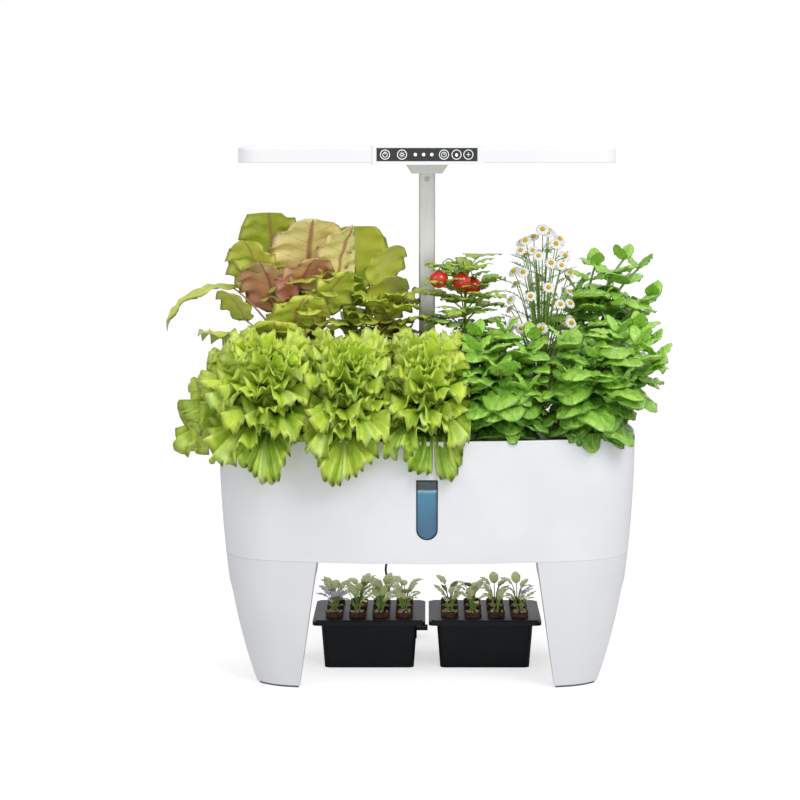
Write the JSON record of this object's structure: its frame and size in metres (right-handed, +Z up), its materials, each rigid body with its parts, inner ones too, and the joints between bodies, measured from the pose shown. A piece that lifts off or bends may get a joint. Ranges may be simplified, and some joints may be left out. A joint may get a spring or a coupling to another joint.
{
  "type": "countertop hydroponic garden",
  "caption": "Oval water tub on arched legs with a planting deck, plants in net cups, a telescopic mast with a bar lamp, and seedling trays below.",
  "frame": {"origin": "on the table, under the middle of the tub", "axes": "+Z up, -Y to the front with the window, +X to the right seen from the front"},
  "size_m": [0.7375, 0.4233, 0.769],
  "materials": {
    "white_plastic": "glossy white moulding",
    "black_rubber": "matte black",
    "clear_window": "clear",
    "blue_water": "clear blue water",
    "steel_screw": "plated",
    "grey_rubber": "matte grey",
    "deck_plastic": "satin white",
    "silver_mast": "satin silver",
    "button_grey": "satin grey",
    "lamp_white": "glossy white",
    "diffuser_frost": "frosted",
    "led_board_metal": "white solder mask on metal",
    "panel_black": "glossy black",
    "circuit_green": "satin green",
    "pump_black": "matte black",
    "impeller_grey": "matte grey",
    "hose_clear": "milky",
    "cord_black": "satin black",
    "adapter_black": "fine-grained black",
    "tray_black": "glossy black",
    "insert_black": "glossy black",
    "peat_brown": "fibrous peat",
    "seedling_green": "leaf",
    "cup_plastic": "matte white",
    "lettuce_green": "frilled leaf",
    "basil_green": "glossy leaf",
    "mustard_pink": "veined leaf",
    "oakleaf_red": "bronzed leaf",
    "tomato_green": "hairy leaf",
    "chamomile_green": "feathery leaf",
    "broadleaf_green": "yellow-green leaf"
  },
  "bodies": {
    "garden": {"tub_shell": "white_plastic", "window_gasket": "black_rubber", "window_lens": "clear_window", "water_column": "blue_water", "leg_frame_left": "white_plastic", "leg_frame_right": "white_plastic", "leg_screws": "steel_screw", "foot_pads": "grey_rubber", "pump_body": "pump_black", "riser_hose": "hose_clear", "cord_gland": "cord_black", "power_cord": "cord_black", "cord_coil": "cord_black", "power_adapter": "adapter_black"},
    "deck": {"deck": "deck_plastic", "mast_socket": "white_plastic", "mast_outer_tube": "silver_mast"},
    "lamp": {"mast_inner_tube": "silver_mast", "lamp_bracket": "white_plastic", "lamp_housing": "lamp_white", "lamp_bottom_cover": "lamp_white", "lamp_diffuser": "diffuser_frost", "led_board": "led_board_metal", "control_panel": "panel_black", "control_board": "circuit_green"},
    "lock_button": {"mast_lock_button": "button_grey"},
    "hole_cover": {"hole_cover": "deck_plastic"},
    "filler_cap": {"filler_cap": "deck_plastic"},
    "impeller": {"pump_impeller": "impeller_grey"},
    "tray_left": {"tray_left": "tray_black", "cell_insert_left": "insert_black", "peat_pots_left": "peat_brown", "seedlings_left": "seedling_green"},
    "tray_right": {"tray_right": "tray_black", "cell_insert_right": "insert_black", "peat_pots_right": "peat_brown", "seedlings_right": "seedling_green"},
    "pod_lettuce_left": {"net_cup_lettuce_left": "cup_plastic", "plant_lettuce_left": "lettuce_green"},
    "pod_lettuce_middle": {"net_cup_lettuce_middle": "cup_plastic", "plant_lettuce_middle": "lettuce_green"},
    "pod_lettuce_right": {"net_cup_lettuce_right": "cup_plastic", "plant_lettuce_right": "lettuce_green"},
    "pod_basil_middle": {"net_cup_basil_middle": "cup_plastic", "plant_basil_middle": "basil_green"},
    "pod_basil_right": {"net_cup_basil_right": "cup_plastic", "plant_basil_right": "basil_green"},
    "pod_mustard": {"net_cup_mustard": "cup_plastic", "plant_mustard": "mustard_pink"},
    "pod_oakleaf": {"net_cup_oakleaf": "cup_plastic", "plant_oakleaf": "oakleaf_red"},
    "pod_tomato": {"net_cup_tomato": "cup_plastic", "plant_tomato": "tomato_green"},
    "pod_chamomile": {"net_cup_chamomile": "cup_plastic", "plant_chamomile": "chamomile_green"},
    "pod_broadleaf": {"net_cup_broadleaf": "cup_plastic", "plant_broadleaf": "broadleaf_green"},
    "pod_basil_back": {"net_cup_basil_back": "cup_plastic", "plant_basil_back": "basil_green"}
  },
  "joints": [
    {"name": "deck_lift", "type": "slide", "parent": "garden", "child": "deck", "axis": [0, 0, 1], "range_m": [0, 0.12]},
    {"name": "mast_slide", "type": "slide", "parent": "deck", "child": "lamp", "axis": [0, 0, 1], "range_m": [0, 0.15]},
    {"name": "mast_lock_press", "type": "slide", "parent": "deck", "child": "lock_button", "axis": [0, 1, 0], "range_m": [0, 0.002], "stiffness_N_per_m": 400},
    {"name": "hole_cover_lift", "type": "slide", "parent": "deck", "child": "hole_cover", "axis": [0, 0, 1], "range_m": [0, 0.03]},
    {"name": "filler_cap_lift", "type": "slide", "parent": "deck", "child": "filler_cap", "axis": [0, 0, 1], "range_m": [0, 0.03]},
    {"name": "pump_spin", "type": "hinge", "parent": "garden", "child": "impeller", "pos_m": [0.176, 0.0745, 0.21], "axis": [0, 1, 0], "continuous": true},
    {"name": "tray_left_slide", "type": "slide", "parent": "garden", "child": "tray_left", "axis": [0, -1, 0], "range_m": [0, 0.3]},
    {"name": "tray_right_slide", "type": "slide", "parent": "garden", "child": "tray_right", "axis": [0, -1, 0], "range_m": [0, 0.3]},
    {"name": "lettuce_left_lift", "type": "slide", "parent": "deck", "child": "pod_lettuce_left", "axis": [0, 0, 1], "range_m": [0, 0.06]},
    {"name": "lettuce_middle_lift", "type": "slide", "parent": "deck", "child": "pod_lettuce_middle", "axis": [0, 0, 1], "range_m": [0, 0.06]},
    {"name": "lettuce_right_lift", "type": "slide", "parent": "deck", "child": "pod_lettuce_right", "axis": [0, 0, 1], "range_m": [0, 0.06]},
    {"name": "basil_middle_lift", "type": "slide", "parent": "deck", "child": "pod_basil_middle", "axis": [0, 0, 1], "range_m": [0, 0.06]},
    {"name": "basil_right_lift", "type": "slide", "parent": "deck", "child": "pod_basil_right", "axis": [0, 0, 1], "range_m": [0, 0.06]},
    {"name": "mustard_lift", "type": "slide", "parent": "deck", "child": "pod_mustard", "axis": [0, 0, 1], "range_m": [0, 0.06]},
    {"name": "oakleaf_lift", "type": "slide", "parent": "deck", "child": "pod_oakleaf", "axis": [0, 0, 1], "range_m": [0, 0.06]},
    {"name": "tomato_lift", "type": "slide", "parent": "deck", "child": "pod_tomato", "axis": [0, 0, 1], "range_m": [0, 0.06]},
    {"name": "chamomile_lift", "type": "slide", "parent": "deck", "child": "pod_chamomile", "axis": [0, 0, 1], "range_m": [0, 0.06]},
    {"name": "broadleaf_lift", "type": "slide", "parent": "deck", "child": "pod_broadleaf", "axis": [0, 0, 1], "range_m": [0, 0.06]},
    {"name": "basil_back_lift", "type": "slide", "parent": "deck", "child": "pod_basil_back", "axis": [0, 0, 1], "range_m": [0, 0.06]}
  ]
}
